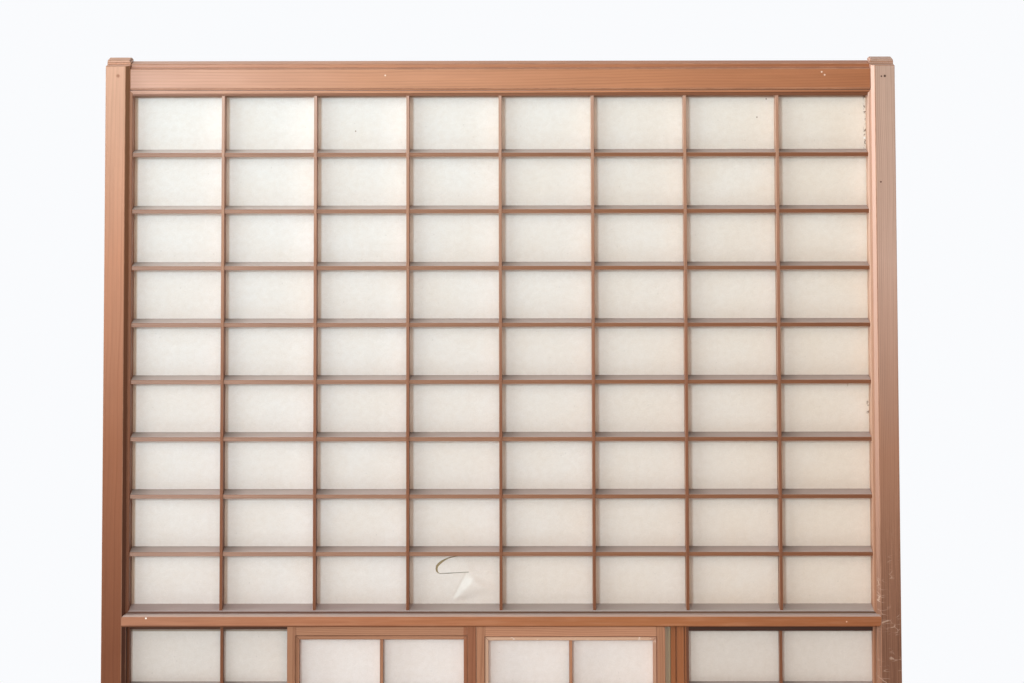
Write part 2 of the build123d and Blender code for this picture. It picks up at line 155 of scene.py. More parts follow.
class Finish:
    """A material being written. node() adds any node."""

    def __init__(self, name, tree=None):
        if tree is None:
            self.material = bpy.data.materials.new(name)
            self.material.use_nodes = True
            tree = self.material.node_tree
        tree.nodes.clear()
        self.tree = tree

    def node(self, kind, settings=None, out=0, **sockets):
        """Settings are set first. A socket is given by its name, or by its number as _0, _1 and so on."""
        made = self.tree.nodes.new(kind)
        settings = dict(settings or {})
        stops = settings.pop("stops", None)
        for key, value in settings.items():
            setattr(made, key, value)
        if stops:
            points = made.color_ramp.elements
            while len(points) < len(stops):
                points.new(0.5)
            for point, (place, colour) in zip(points, stops):
                point.position = place
                point.color = (*colour, 1) if isinstance(colour, tuple) else (colour, colour, colour, 1)
        for key, value in sockets.items():
            self.join(value, made.inputs[int(key[1:])] if key[0] == "_" else made.inputs[key])
        return Wire(self, made.outputs[out]) if made.outputs else None

    def join(self, value, socket):
        """Three values of which one is a wire become a vector first."""
        if isinstance(value, tuple) and any(isinstance(part, Wire) for part in value):
            value = self.node("ShaderNodeCombineXYZ", X=value[0], Y=value[1], Z=value[2])
        if isinstance(value, Wire):
            self.tree.links.new(value.socket, socket)
        elif isinstance(value, tuple) and len(value) < len(socket.default_value):
            socket.default_value = (*value, 1)
        else:
            socket.default_value = value

    def sum(self, operation, *values):
        return self.node("ShaderNodeMath", {"operation": operation}, **{f"_{i}": v for i, v in enumerate(values)})

    def length(self, x, y, z=0.0):
        return self.node("ShaderNodeVectorMath", {"operation": "LENGTH"}, out=1, _0=(x, y, z))

    def split(self, vector):
        return [Wire(self, part) for part in self.node("ShaderNodeSeparateXYZ", Vector=vector).socket.node.outputs]

    def place(self):
        """X, Y and Z in millimetres."""
        here = self.node("ShaderNodeTexCoord", out=3)
        return self.split(self.node("ShaderNodeVectorMath", {"operation": "SCALE"}, _0=here, Scale=1 / MM))

    def facing(self):
        """X, Y and Z of the surface's normal."""
        return self.split(self.node("ShaderNodeNewGeometry", out=1))

    def noise(self, at, scale=1.0, detail=2.0, rough=0.5):
        return self.node("ShaderNodeTexNoise", Vector=at, Scale=scale, Detail=detail, Roughness=rough)

    def cracks(self, at):
        """How far the nearest edge between two cells is."""
        return self.node("ShaderNodeTexVoronoi", {"feature": "DISTANCE_TO_EDGE"}, Vector=at, Scale=1.0)

    def ramp(self, value, stops):
        return self.node("ShaderNodeValToRGB", {"stops": stops}, Fac=value)

    def dot(self, x, z, place, radius, soft=0.5):
        """1 on a round spot of that radius, seen from the front."""
        return self.length(x - place[0], 0.0, z - place[1]).step(radius + soft, radius)

    def mix(self, where, first, second, blend="MIX"):
        """Colours: first where the mask is 0, second where it is 1."""
        settings = {"data_type": "RGBA", "blend_type": blend}
        return self.node("ShaderNodeMix", settings, out=2, _0=where, _6=first, _7=second)

    def tinted(self, colour, tint):
        """The colour multiplied by the tint, all over."""
        return self.mix(1.0, colour, tint, "MULTIPLY")

    def stained(self, where, colour, tint):
        """The colour multiplied by the tint where the mask is 1."""
        return self.mix(where, colour, self.tinted(colour, tint))

    def darkened(self, colour, share):
        """The colour with that share of its light taken away."""
        left = 1 - share
        return self.tinted(colour, self.node("ShaderNodeCombineColor", Red=left, Green=left, Blue=left))

    def specks(self, x, z, colour, places, paint, radius):
        for place in places:
            colour = self.mix(self.dot(x, z, place, radius), colour, paint)
        return colour

    def bump(self, height, distance, strength):
        return self.node("ShaderNodeBump", Height=height, Distance=distance, Strength=strength)

    def surface(self, colour, rough, shine=0.5, **more):
        sockets = {"Base Color": colour, "Roughness": rough, "Specular IOR Level": shine, **more}
        self.node("ShaderNodeOutputMaterial", Surface=self.node("ShaderNodeBsdfPrincipled", **sockets))
        return self.material

    def backdrop(self):
        """1 for what the camera sees straight on, in a gloss or through glass."""
        camera, glossy, through = (self.node("ShaderNodeLightPath", out=i) for i in (0, 3, 6))
        return camera.most(glossy).most(through)


def srgb(red, green, blue):
    """A colour as a picture writes it, 0 to 255, in the numbers that a shader wants."""
    return tuple(c / 255 / 12.92 if c <= 10 else ((c / 255 + 0.055) / 1.055) ** 2.4 for c in (red, green, blue))


DUST = srgb(190, 177, 171)
DUST_AND_SHEEN = srgb(240, 236, 232)
LATE_WOOD = (0.52, 0.40, 0.33)
IN_THE_SHADE = (0.66, 0.54, 0.46)
PAINTED_WINDOW_LIGHT = (1.12, 1.17, 1.2)
# How the wood of one year goes from pale to dark, and ends sharply.
YEAR = [(0.0, 0.0), (0.5, 0.12), (0.82, 0.95), (0.93, 1.0), (1.0, 0.05)]


def wood(
    name,
    grain,
    tones,
    seed,
    pitch=2.6,
    rings=0.3,
    heart=(140.0, 260.0),
    dust=0.8,
    rough=0.46,
    lean=0.0,
    side_shading=0.0,
    marks=None,
):
    """Old softwood. grain is the axis that it runs along, X or Z. tones are the colours along that axis, from its
    start to its end. seed moves the pattern, pitch is the width of a year's ring, rings is how dark the late wood is,
    and heart is how far off the tree's middle was, across the face and behind it. dust is how thickly it lies on
    level faces. lean is how much less of its tones a piece at the right shows than one at the left, and side_shading
    is how strongly the faces turned away from the window are painted darker, as painted shade, and those turned to it
    painted lighter, as painted light."""
    f = Finish(name)
    x, y, z = f.place()
    length, across = (z, x) if grain == "Z" else (x, z)
    # The tree wanders a little along its length.
    sway = f.noise((length * 0.0011 + seed * 7.3, across * 0.004 + seed, y * 0.004), detail=3) * 34 - 17
    ripple = f.noise((length * 0.012 + seed, across * 0.05, y * 0.05 + seed)) * 2.4
    ring = f.length(across + sway + heart[0] + seed * 3.1, y + heart[1])
    phase = ring / pitch + ripple / pitch
    years = f.node("ShaderNodeTexWhiteNoise", {"noise_dimensions": "1D"}, W=phase.whole() + seed)
    late = f.ramp(phase.fraction(), YEAR) * (years * 0.75 + 0.25)
    fibre = f.noise((length * 0.02 + seed * 5, across * 1.3, y * 1.3 + seed), detail=4, rough=0.62)
    broad = f.noise((length * 0.006, across * 0.16 + seed, y * 0.16), detail=3)
    cloud = f.noise((length * 0.009 + seed, across * 0.03, y * 0.03))
    # The colour changes with height and from side to side, as light and hands have aged it.
    spot = (rightwards(x) if grain == "X" else upwards(z)) + (cloud - 0.5) * 0.10
    if lean:
        spot = spot * (1 - rightwards(x) * lean)
    tone = f.ramp(spot, [(i / (len(tones) - 1), colour) for i, colour in enumerate(tones)])
    red = f.stained(late * rings, tone, LATE_WOOD)
    colour = f.darkened(red, (fibre - 0.5) * 0.275 + (broad - 0.5) * 0.22 + (cloud - 0.5) * 0.18)
    # Dust lies on level faces. On the upper shelves at the left it is painted lighter: dust with a painted reflection
    # of the bright paper behind it.
    sideways, _, up = f.facing()
    level = up.step(0.35, 0.9)
    settled = f.noise((x * 0.05, y * 0.4, z * 0.05 + seed), detail=4, rough=0.65)
    dust_sheen = upwards(z).held() ** 1.4 * (1 - rightwards(x)).held()
    colour = f.mix(level * dust * (0.85 + settled * 0.25), colour, f.mix(dust_sheen * 1.1, DUST, DUST_AND_SHEEN))
    # Painted shade on the faces turned away from the window, and painted light on the faces turned to it.
    if side_shading:
        colour = f.stained(sideways.step(0.5, 0.9) * side_shading, colour, IN_THE_SHADE)
        colour = f.stained(sideways.step(-0.5, -0.9) * side_shading, colour, PAINTED_WINDOW_LIGHT)
    gloss = rough + (fibre - 0.5) * 0.12 + level * 0.4
    relief = late * -0.35 + fibre * 0.5
    if marks:
        colour, relief = marks(f, x, y, z, colour, relief)
    return f.surface(colour, gloss, 0.24, Normal=f.bump(relief, 0.00022, 0.55))


def paper(name, fair, aged, seed, marks=None):
    """Hand-made sheet: long fibres, thick and thin clouds, and a slow yellowing to the right and downwards."""
    f = Finish(name)
    x, y, z = f.place()
    flat = (x + seed * 90, z + seed * 41, 0.0)
    cloud = f.noise(flat, scale=0.016, detail=3)
    blot = f.noise(flat, scale=0.16, detail=3, rough=0.6)
    grit = f.noise(flat, scale=0.75, detail=3, rough=0.7)
    bent = f.noise(flat, scale=0.11)
    # 0 at the upper sheet's upper edge, 1 at its lower one.
    down = (1720 - z) / 600
    age = rightwards(x).most(0.0) ** 2 * 0.72 + down * 0.42 + (cloud - 0.5) * 0.6
    colour = f.mix(age.held(), fair, aged)
    # Darker and pinker towards the bottom: the darkening is painted shade.
    colour = f.stained(down.held(), colour, (0.955, 0.93, 0.95))
    colour = f.stained(blot.step(0.35, 0.7) * 0.5, colour, (1.0, 0.978, 0.955))
    strand = f.cracks((x * 0.05 + bent * 1.1, z * 0.11 + bent * 1.6, 0.0)).step(0.05, 0.0)
    bark = f.node("ShaderNodeTexVoronoi", Vector=flat, Scale=0.07).step(0.075, 0.03)
    colour = f.darkened(colour, (grit - 0.5) * 0.19 + (blot - 0.5) * 0.10 - strand * 0.02 + bark * 0.10)
    relief = grit * 0.5 + strand * 0.35 + blot
    if marks:
        colour, relief = marks(f, x, y, z, colour, relief)
    return f.surface(colour, 0.93, 0.2, Normal=f.bump(relief, 0.0002, 0.4))


def old_glass():
    """Brownish and uneven, with a film of dirt. Its brown tint and dimness are also painted shade, for the shaded wall
    seen through it.
    """
    f = Finish("old_glass")
    x, y, z = f.place()
    wave = f.noise((x * 0.01, y, z * 0.004))
    dirt = f.noise((x * 0.03, y, z * 0.03), detail=5, rough=0.65)
    colour = f.mix(dirt, srgb(198, 165, 112), srgb(205, 174, 121))
    return f.surface(colour, dirt * 0.16 + 0.04, Alpha=dirt * 0.12 + 0.72, Normal=f.bump(wave, 0.004, 0.2))


def arris():
    """Where hands and cloths have rubbed an edge, the wood is paler and smoother, most at the top."""
    f = Finish("worn_edge")
    x, y, z = f.place()
    tone = srgb(150, 102, 76)
    rub = f.noise((x * 0.04, y * 0.04, z * 0.04), detail=4, rough=0.7)
    height = (z - 1050) / 700
    light = f.stained(height, tone, (1.5, 1.62, 1.7))
    colour = f.stained(rub.step(0.62, 0.4) * 0.6, light, (0.62, 0.55, 0.5))
    return f.surface(colour, rub * 0.2 + 0.4, 0.4)


def iron():
    f = Finish("rusted_iron")
    x, y, z = f.place()
    bloom = f.noise((x * 1.6, y, z * 1.6), detail=4)
    return f.surface(f.mix(bloom, srgb(52, 38, 34), srgb(96, 58, 40)), bloom * 0.2 + 0.6, Metallic=0.35)


# Marks of use, and painted light and shade. Each takes the colour and the relief of a finish and gives them back with
# its marks.


def right_stile_marks(f, x, y, z, colour, relief):
    """The inner face painted lighter towards the top, as painted light from the window, a scuffed lower half with pale
    scratches across a coarse dark grain, and specks of rust.
    """
    low = z.step(1330, 1120)
    warp = f.noise((x * 0.05, 0.0, z * 0.05), detail=3)
    cuts = f.cracks((x * 0.045 + warp * 1.4, 0.0, z * 0.16 + warp * 0.9)).step(0.035, 0.008)
    patchy = f.noise((x * 0.07 + 9, 0.0, z * 0.045)).step(0.47, 0.62)
    cut = cuts * patchy * z.step(1240, 1150)
    coarse = f.noise((x * 0.75, y * 0.4, z * 0.012 + 4), detail=3, rough=0.6).step(0.46, 0.6) * low
    # Painted light: the inner face, turned to the window, is given colours that grow paler upwards.
    inner = f.facing()[0].step(-0.35, -0.6) * x.step(436, 434)
    colour = f.mix(inner * 0.8, colour, f.mix(upwards(z), srgb(143, 97, 73), srgb(231, 181, 160)))
    colour = f.stained(coarse * 0.45, colour, (0.50, 0.45, 0.42))
    colour = f.mix(cut * 0.55, colour, srgb(206, 170, 148))
    colour = f.specks(x, z, colour, [(440.0, 1619.5)], srgb(96, 66, 52), 0.7)
    colour = f.specks(x, z, colour, [(446.0, 1740.2)], srgb(84, 50, 38), 1.1)
    colour = f.specks(x, z, colour, [(442.0, 1739.9)], srgb(104, 66, 50), 0.7)
    return colour, relief - cut * 0.8 - coarse * 0.3


def left_stile_marks(f, x, y, z, colour, relief):
    """The inner face painted dark, as painted shade, a scuffed lower part and a small knot near the top."""
    knot = f.dot(x, z, (-443.0, 1741.5), 0.7, 2.2)
    scuff = f.noise((x * 0.25, y * 0.1, z * 0.03), detail=4, rough=0.7).step(0.64, 0.74) * z.step(1400, 1150)
    colour = f.mix(scuff * 0.35, colour, srgb(198, 150, 122))
    # Painted shade: the inner face, turned away from the window, is darkened.
    inner = f.facing()[0].step(0.35, 0.6)
    colour = f.stained(inner * 0.97, colour, (0.30, 0.24, 0.15))
    return f.mix(knot * 0.75, colour, srgb(150, 92, 66)), relief - knot


def top_rail_marks(f, x, y, z, colour, relief):
    """Three pale pricks."""
    spots = [(-133.3, 1740.7), (373.5, 1744.1), (376.9, 1740.7)]
    return f.specks(x, z, colour, spots, srgb(240, 214, 196), 0.7), relief


def middle_rail_marks(f, x, y, z, colour, relief):
    """Rubbed along the grain, with a pin at each end. The lower arris is eased round, and a strip along it is painted
    dark as painted shade under the rail.
    """
    rubbed = f.noise((x * 0.02, 0.0, z * 0.3), detail=3).step(0.45, 0.7)
    colour = f.mix(rubbed * 0.16, colour, srgb(206, 150, 116))
    # The painted shade reaches higher at the left.
    colour = f.stained((z + rightwards(x) * 0.9).step(1122.2, 1120.3), colour, (0.34, 0.26, 0.20))
    colour = f.specks(x, z, colour, [(395.0, 1125.3)], srgb(222, 176, 148), 0.5)
    return f.specks(x, z, colour, [(-406.3, 1129.4)], srgb(244, 232, 222), 0.8), relief


def shelf_painted_shadows(f, x, y, z, colour, relief):
    """Painted shadow where each upright bar shades the shelf to its right, deepest at the back, and painted shade over
    the back of the shelf; elsewhere the shelf's dust is painted a little lighter, as painted light.
    """
    past_bar = (x / BAR_PITCH).fraction() * BAR_PITCH
    back = (y + 8.4) / 18.9
    shaded = past_bar.step(30.0, 3.0) * (back * 0.65 + 0.35)
    level = f.facing()[2].step(0.35, 0.9)
    colour = f.stained(shaded * level, colour, (0.58, 0.55, 0.53))
    colour = f.stained(back.step(0.5, 1.0) * level * 0.6, colour, (0.74, 0.75, 0.77))
    return f.stained(level * (1 - shaded), colour, (1.04, 1.01, 1.01)), relief


def top_bead_painted_shade(f, x, y, z, colour, relief):
    """Painted shade on the bead's lower part, reaching higher at the right."""
    left = 1 - rightwards(x)
    return f.stained((z + left * 2.2).step(1721.9, 1721.3), colour, (0.46, 0.41, 0.38)), relief


def ledge_marks(f, x, y, z, colour, relief):
    """Hands resting on the left of the ledge have darkened its dust."""
    return f.stained(x.step(-40.0, -150.0), colour, (0.96, 0.90, 0.92)), relief


def under_rail_painted_shade(f, x, y, z, colour, relief):
    """Painted shade: the side sheets are darkened along the beads under the middle rail."""
    return f.stained(z.step(1103.6, 1105.2), colour, (0.50, 0.42, 0.36)), relief


def screen_marks(f, x, y, z, colour, relief):
    """The right screen is paler, and its beads are rubbed and chipped round the pane. The left one's right stile is
    darker than the rest of it."""
    worn = f.noise((x * 0.12, y * 0.5, z * 0.12 + 3), detail=5, rough=0.72).step(0.60, 0.68)
    right = x.above(SCREENS_MEET)
    left_stile = x.step(-48.0, -46.0) * x.step(-43.2, -42.6).most(z.step(1105.2, 1104.4)) * (1 - right)
    colour = f.stained(left_stile, colour, (0.84, 0.68, 0.60))
    colour = f.stained((1 - left_stile) * (1 - right), colour, (1.07, 1.09, 1.10))
    # The band between the outside and the inside of the right screen's beads.
    aside = abs(x - RIGHT_SCREEN)
    outside = aside.step(98.6, 98.0) * z.step(1107.8, 1107.2) * z.step(546.0, 546.6)
    inside = aside.step(94.1, 93.5) * z.step(1103.7, 1103.1) * z.step(550.0, 550.6)
    beads = outside * (1 - inside) * right
    colour = f.stained(right, colour, (1.2, 1.2, 1.2))
    colour = f.mix(beads * 0.6, colour, srgb(214, 176, 150))
    colour = f.stained(x.step(168.0, 172.0) * beads, colour, (0.84, 0.74, 0.72))
    return f.mix(worn * beads * 0.8, colour, srgb(240, 222, 208)), relief


def paste_and_shadow_marks(f, x, z, colour):
    """Browns the sheet along the bars: paste and tannin stain to either side of each bar, and painted shadow where the
    bars' shadows fall, to their right and under them, beside the left bead, and darkest under the top bead.
    """
    past_bar = (x / BAR_PITCH).fraction() * BAR_PITCH
    below = ((LAST_CROSS_BAR - z) / ROW_PITCH).fraction() * ROW_PITCH
    uneven = f.noise((x * 0.08, 0.0, z * 0.08), detail=3)
    # Paste stain with painted shadow to the right of each bar.
    colour = f.stained(past_bar.step(6.4, 4.0) * (uneven * 0.6 + 0.7), colour, (1.0, 0.95, 0.87))
    colour = f.stained(past_bar.step(103.2, 105.4) * 0.8, colour, (1.0, 0.97, 0.92))
    # Painted shadow under each cross bar, much darker under the top bead, and beside the left bead.
    colour = f.stained(below.step(9.0, 5.0) * (1 - z.step(1646, 1650)), colour, (0.97, 0.90, 0.82))
    colour = f.stained((SHEET_TOP - z).step(11.8, 10.2), colour, (0.52, 0.36, 0.28))
    return f.stained((x + 427).step(5.0, 2.4), colour, (0.86, 0.80, 0.74))


def tear_marks(f, x, y, z, colour, relief):
    """The sheet's right edge has come away in crumbs, and the crease under the tear carries a painted highlight, with
    painted shade beside it and along the slit.
    """
    colour = paste_and_shadow_marks(f, x, z, colour)
    # Painted highlight along the crease's flank that faces the light.
    share, aside = along((x, z), CREASE)
    rubbed = aside.step(-0.6, 0.6) * (aside - share * 8.0).step(5.0, 0.0)
    rubbed = rubbed * share.step(-0.04, 0.12) * share.step(1.1, 0.8)
    colour = f.mix(rubbed * 0.5, colour, srgb(250, 242, 235))
    # Painted shade in the hollow to the left of the crease.
    colour = f.stained(aside.near(-1.6, 0.2, 1.8) * share.near(0.6, 0.3, 0.3), colour, (0.95, 0.94, 0.93))
    # The slit is painted dark, as painted shade in its narrow gap.
    slit = abs(z - 1169.0 - (x + 71.0) * 0.05).step(0.6, 0.15) * x.near(-54.2, 16.6, 0.6)
    colour = f.mix(slit * 0.85, colour, srgb(128, 114, 98))
    crumbs = f.noise((x * 0.30, 0.0, z * 0.24), detail=4, rough=0.7).step(0.52, 0.58)
    edge = x.step(423.2, 425.2) * (z.step(1648, 1656) + z.near(1359.5, 9.0, 2.0))
    colour = f.mix(edge * crumbs * 0.8, colour, srgb(120, 84, 58))
    colour = f.specks(x, z, colour, [(425.2, 1664.0)], srgb(252, 250, 246), 1.0)
    spots = [(-169.0, 1672.4), (300.0, 1688.0), (311.0, 1709.0), (303.9, 1643.7)]
    colour = f.specks(x, z, colour, spots, srgb(150, 120, 96), 0.5)
    colour = f.mix(f.dot(x, z, (-11.9, 1263.3), 1.6, 1.2) * 0.9, colour, srgb(252, 250, 248))
    # A splinter hangs from the bar above, with its shadow.
    shadow = x.near(402.6, 0.2, 0.7) * z.near(1384.0, 3.0, 1.2)
    splinter = x.near(400.2, 0.3, 0.5) * z.near(1386.4, 2.8, 0.8)
    colour = f.mix(shadow * 0.5, colour, srgb(186, 158, 122))
    return f.mix(splinter * 0.8, colour, srgb(246, 236, 210)), relief


# What each piece is finished with. Upright pieces go from below to above, and level ones from left to right.
LEFT_STILE = [srgb(121, 68, 42), srgb(152, 95, 67), srgb(193, 135, 106), srgb(215, 167, 141)]
RIGHT_STILE = [srgb(131, 87, 65), srgb(167, 118, 93), srgb(195, 157, 139), srgb(192, 158, 140)]
TOP_RAIL = [srgb(213, 168, 148), srgb(205, 148, 116), srgb(188, 126, 90), srgb(168, 105, 69)]
MIDDLE_RAIL = [srgb(170, 114, 86), srgb(173, 109, 75), srgb(165, 101, 62), srgb(153, 89, 52)]
LOWER_RAILS = [srgb(124, 75, 52), srgb(120, 73, 50)]
WAIST = [srgb(146, 98, 70), srgb(140, 92, 66)]
POST = [srgb(165, 99, 60), srgb(177, 109, 68)]
BAR = [srgb(121, 71, 45), srgb(141, 90, 65), srgb(180, 135, 111), srgb(217, 183, 168)]
CROSS = [srgb(174, 137, 120), srgb(158, 116, 93), srgb(142, 94, 66), srgb(126, 76, 49)]
# The left beads' tones are painted darker, as painted shade, and the right ones' lighter, as painted light from the
# window at the left.
SHADED_LEFT_BEAD = [srgb(110, 64, 42), srgb(130, 82, 58), srgb(153, 104, 79), srgb(177, 130, 105)]
LIT_RIGHT_BEAD = [srgb(164, 112, 84), srgb(188, 140, 114), srgb(208, 163, 138), srgb(215, 171, 149)]
LEDGE = [srgb(112, 84, 72), srgb(112, 84, 68)]
# The side lattices' top beads are painted dark, as painted shade under the middle rail.
SHADED_SIDE_TOP = [srgb(90, 56, 39), srgb(66, 35, 20)]
SCREEN = [srgb(158, 108, 80), srgb(176, 124, 96)]
SHELF_DUST = 0.9

finishes = {
    "left_stile": wood(
        "left_stile_wood", "Z", LEFT_STILE, 1, pitch=3.1, heart=(300, 160), dust=0.1, marks=left_stile_marks
    ),
    "right_stile": wood(
        "right_stile_wood", "Z", RIGHT_STILE, 2, pitch=2.2, rings=0.5, heart=(420, 60), dust=0.1,
        marks=right_stile_marks,
    ),
    "top_rail": wood("top_rail_wood", "X", TOP_RAIL, 3, pitch=3.4, heart=(330, 120), dust=0.12, marks=top_rail_marks),
    "middle_rail": wood(
        "middle_rail_wood", "X", MIDDLE_RAIL, 4, pitch=4.0, rings=0.12, heart=(260, 60), rough=0.48,
        marks=middle_rail_marks,
    ),
    "sill_rail": wood("sill_rail_wood", "X", LOWER_RAILS, 5),
    "bottom_rail": wood("bottom_rail_wood", "X", LOWER_RAILS, 6),
    "waist_board": wood("waist_board_wood", "X", WAIST, 7, pitch=5.5, rings=0.4, heart=(60, 420)),
    "posts": wood("post_wood", "Z", POST, 8, pitch=3.6, rings=0.2),
    "bars": wood("bar_wood", "Z", BAR, 9, pitch=2.8, heart=(200, 200), rough=0.42, lean=0.3, side_shading=1.0),
    "cross_bars": wood("cross_bar_wood", "X", CROSS, 10, pitch=2.8, dust=SHELF_DUST, marks=shelf_painted_shadows),
    "left_uprights": wood("left_bead_wood", "Z", SHADED_LEFT_BEAD, 11, pitch=3.0, side_shading=0.3),
    "right_uprights": wood("right_bead_wood", "Z", LIT_RIGHT_BEAD, 16, pitch=3.0),
    "upper_bead_bottom": wood("bottom_bead_wood", "X", LEDGE, 17, dust=SHELF_DUST, marks=ledge_marks),
    "upper_bead_top": wood("top_bead_wood", "X", TOP_RAIL, 12, pitch=3.0, marks=top_bead_painted_shade),
    "side_tops": wood("side_top_bead_wood", "X", SHADED_SIDE_TOP, 18),
    "levels": wood("bead_level_wood", "X", TOP_RAIL, 12, pitch=3.0, dust=SHELF_DUST),
    "screen_uprights": wood(
        "screen_upright_wood", "Z", SCREEN, 13, pitch=2.4, rings=0.45, side_shading=0.8, marks=screen_marks
    ),
    "screen_levels": wood("screen_level_wood", "X", SCREEN, 14, pitch=2.4, rings=0.45, marks=screen_marks),
    "upper_paper": paper("upper_paper_sheet", srgb(249, 246, 242), srgb(241, 226, 209), 1, tear_marks),
    "side_paper": paper("side_paper_sheet", srgb(232, 225, 217), srgb(226, 213, 200), 2, under_rail_painted_shade),
    "screen_paper": paper("screen_paper_sheet", srgb(235, 229, 225), srgb(235, 220, 208), 3),
    # The brown backing sheet behind the tear is painted shade, seen through the gap.
    "shade_backing_paper": paper("shade_backing_sheet", srgb(192, 172, 134), srgb(184, 162, 122), 4),
    "glass": old_glass(),
    "worn_edge": arris(),
    "rust": iron(),
}


def finish_of(node):
    if node in finishes:
        return node
    if node.endswith("_paper"):
        return "screen_paper" if "screen" in node else "side_paper"
    if node == "glass_pane":
        return "glass"
    if node.endswith(("_post", "glazing_strip")):
        return "posts"
    if node.startswith("upper_cross"):
        return "cross_bars"
    if "screen" in node:
        return "screen_levels" if "rail" in node else "screen_uprights"
    if node.startswith("upper_vertical") or "lattice" in node:
        return "bars"
    if node.endswith("side_bead_top"):
        return "side_tops"
    if node.endswith(("top", "bottom")):
        return "levels"
    return "right_uprights" if node.endswith("right") else "left_uprights"


for name, piece in nodes.items():
    for place in piece.material_slots:
        place.material = finishes[finish_of(name)]


# Eased edges

# Millimetres: how wide the arrises are eased.
BAR_EASE, PIECE_EASE, FRAME_EASE = 0.3, 0.35, 0.7
FRAME = ("left_stile", "right_stile", "top_rail", "middle_rail", "sill_rail", "bottom_rail")
LEFT_AS_THEY_ARE = ("side_paper", "screen_paper", "upper_paper", "glass")
# Metres: a face of a lattice that is lower than this belongs to a level bar.
LEVEL_BAR = 0.0060
BODY_OF = {name: body for body, names in frame["record"]["behaviour"]["bodies"].items() for name in names}


def pick(piece):
    bpy.ops.object.select_all(action="DESELECT")
    piece.select_set(True)
    bpy.context.view_layer.objects.active = piece


def pick_faces(piece, wanted):
    """Goes into edit mode with the wanted faces selected."""
    pick(piece)
    bpy.ops.object.mode_set(mode="EDIT")
    bpy.ops.mesh.select_mode(type="FACE")
    bpy.ops.mesh.select_all(action="DESELECT")
    bpy.ops.object.mode_set(mode="OBJECT")
    for face in piece.data.polygons:
        face.select = wanted(face)
    bpy.ops.object.mode_set(mode="EDIT")


def apply_places(piece):
    pick(piece)
    bpy.ops.object.transform_apply(location=True, rotation=True, scale=True)


def eased(node, width, steps=1):
    """A copy of a wooden node with its arrises eased and rubbed, in the node's place."""
    pick(nodes[node])
    bpy.ops.object.duplicate()
    piece = bpy.context.object
    piece.name = node + "_eased"
    bpy.ops.object.mode_set(mode="EDIT")
    bpy.ops.mesh.select_all(action="SELECT")
    bpy.ops.mesh.remove_doubles(threshold=0.00001)
    bpy.ops.mesh.dissolve_limited(angle_limit=math.radians(0.5))
    bpy.ops.object.mode_set(mode="OBJECT")
    piece.data.materials.append(finishes["worn_edge"])
    ease = piece.modifiers.new("ease", "BEVEL")
    ease.width = width * MM
    ease.segments = steps
    ease.limit_method = "ANGLE"
    ease.angle_limit = math.radians(25)
    ease.material = len(piece.data.materials) - 1
    ease.use_clamp_overlap = True
    ease.loop_slide = False
    bpy.ops.object.modifier_apply(modifier="ease")
    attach(piece, BODY_OF[node])
    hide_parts(node)
    return piece


def level_bars_apart(piece):
    """Gives the level bars of a lattice that is one piece the finish of the cross bars."""
    piece.data.materials.append(finishes["cross_bars"])
    for face in piece.data.polygons:
        if face.material_index == 0:
            heights = [piece.data.vertices[i].co.z for i in face.vertices]
            if max(heights) - min(heights) < LEVEL_BAR:
                face.material_index = len(piece.data.materials) - 1


def deepened(node, drop):
    """The top bead of a field is the deepest of its four: its underside is drawn down by drop millimetres."""
    piece = bpy.data.objects[node + "_eased"]
    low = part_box(node)[0][2]
    pick_faces(piece, lambda face: face.normal.z < -0.99 and abs(face.center.z - low) < 0.05 * MM)
    bpy.ops.mesh.extrude_region_move(TRANSFORM_OT_translate={"value": (0, 0, -drop * MM)})
    bpy.ops.object.mode_set(mode="OBJECT")
    for face in piece.data.polygons:
        if face.center.z < low:
            face.material_index = 0


for name in sorted(nodes):
    kind = finish_of(name)
    if kind in LEFT_AS_THEY_ARE:
        continue
    if "lattice" in name:
        level_bars_apart(eased(name, BAR_EASE))
    elif kind in ("bars", "cross_bars"):
        eased(name, BAR_EASE)
    elif name in FRAME:
        eased(name, FRAME_EASE, 2)
    else:
        eased(name, PIECE_EASE)

deepened("upper_bead_top", 3.0)
deepened("left_side_bead_top", 6.0)
deepened("right_side_bead_top", 8.0)


# The upper sheet and its tear

# Metres: the plane of the sheet's front, behind the bars.
SHEET_DEPTH = 0.0105
# Millimetres: x, z and width along the cut. The tear opens downwards to the left, and the slit runs on to the right.
TEAR = [
    (-47.0, 1189.2, 0.7), (-52.4, 1188.6, 0.9), (-58.0, 1187.3, 1.1), (-63.6, 1185.3, 1.6), (-68.2, 1182.7, 2.5),
    (-71.9, 1179.7, 2.9), (-74.0, 1177.3, 2.7), (-74.6, 1174.5, 2.4), (-74.2, 1171.9, 2.1), (-73.0, 1170.1, 1.3),
    (-71.0, 1169.1, 0.6),
]
SLIT = [
    (-71.0, 1169.1, 0.4), (-62.0, 1168.9, 0.35), (-53.6, 1169.6, 0.35), (-45.0, 1170.1, 0.4), (-37.4, 1170.7, 0.3),
]
# Millimetres: the line on which the flap between them is bent inwards.
FOLD = ((-44.4, 1186.7), (-39.2, 1174.3))
# Millimetres: how deep the slack of a pane is, how far the flap is bent in, how high the crease stands, and how deep
# the hollow beside it is.
SLACK, BEND, RIDGE, HOLLOW = 0.16, 1.5, 3.3, 0.35
# Metres: the torn pane, a cell of the last row.
CELL_LEFT, CELL_RIGHT = -BAR_PITCH * MM, 0.0
CELL_TOP = LAST_CROSS_BAR * MM
# The wide sheet is a grid of nine steps a bar and five a row, with this many steps to each side of the middle,
# below the torn pane's upper edge and above it.
ASIDE, BELOW, ABOVE = 37, 6, 42
# Metres: how far the ribbons that cut the tear reach, from before the sheet to behind it.
CUT_FRONT, CUT_BACK = 0.0, 0.02


